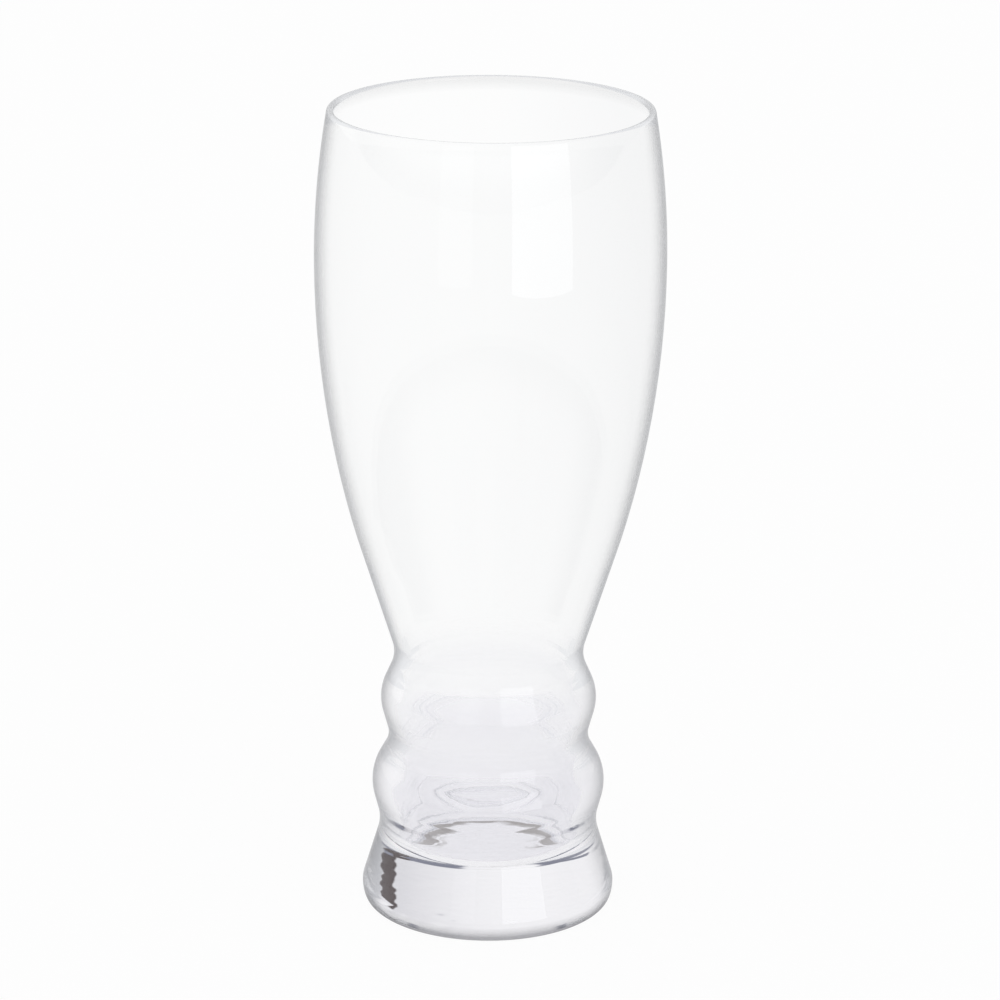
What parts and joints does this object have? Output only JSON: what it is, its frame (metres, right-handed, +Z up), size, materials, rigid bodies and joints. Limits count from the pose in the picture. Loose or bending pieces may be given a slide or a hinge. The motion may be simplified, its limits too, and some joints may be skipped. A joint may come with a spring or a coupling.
{
  "type": "ale glass",
  "caption": "Tall clear ale glass with a swelling bowl that closes a little at its round rim, rippled grip rings and a heavy flared foot.",
  "frame": {"origin": "centre of the flat face that the glass stands on", "axes": "+Z up along the axis of revolution, from the foot to the rim; X and Y are alike"},
  "size_m": [0.084, 0.084, 0.2],
  "materials": {
    "clear_glass": "clear, fire-polished"
  },
  "bodies": {
    "root": {"foot": "clear_glass", "bowl": "clear_glass"}
  },
  "joints": []
}
